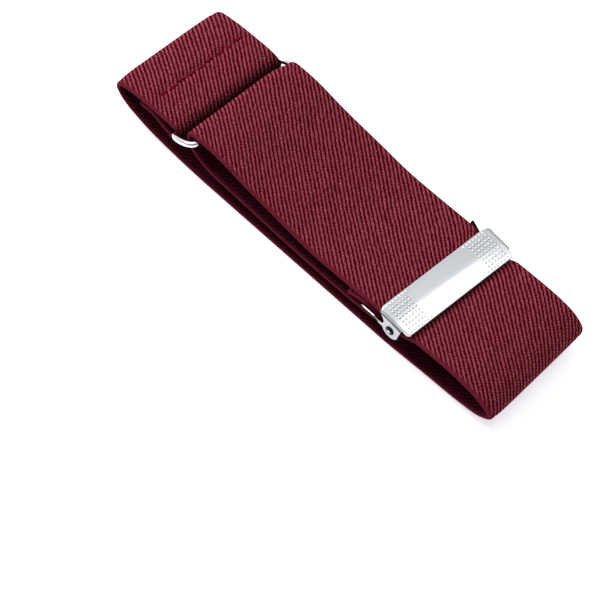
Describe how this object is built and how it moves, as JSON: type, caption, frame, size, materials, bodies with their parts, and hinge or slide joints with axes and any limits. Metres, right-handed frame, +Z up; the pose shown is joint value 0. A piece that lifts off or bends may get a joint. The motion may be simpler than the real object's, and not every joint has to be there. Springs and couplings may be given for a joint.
{
  "type": "shirt sleeve holder",
  "caption": "Elastic webbing arm band with a bright wire ring and a hinged metal lever adjuster, lying flattened, worn on the upper arm to hold a shirt sleeve up.",
  "frame": {"origin": "middle of the bounding box in plan, on the surface it lies on", "axes": "+X along the flattened loop from the ring to the adjuster, +Y across the strap, +Z up"},
  "size_m": [0.132, 0.0385, 0.0163],
  "materials": {
    "elastic": "ribbed woven elastic webbing, matt",
    "chrome": "bright plated wire",
    "steel": "plated sheet steel, smooth",
    "brushed_steel": "brushed in the middle, fine raised dots at both ends"
  },
  "bodies": {
    "band": {"elastic_strap": "elastic", "oval_ring": "chrome", "adjuster_base": "steel"},
    "flap": {"adjuster_flap": "brushed_steel"}
  },
  "joints": [
    {"name": "flap_lever", "type": "hinge", "parent": "band", "child": "flap", "pos_m": [0.03425, 0, 0.0099], "axis": [-0.0175, -0.9998, 0], "range_deg": [0, 20]}
  ]
}
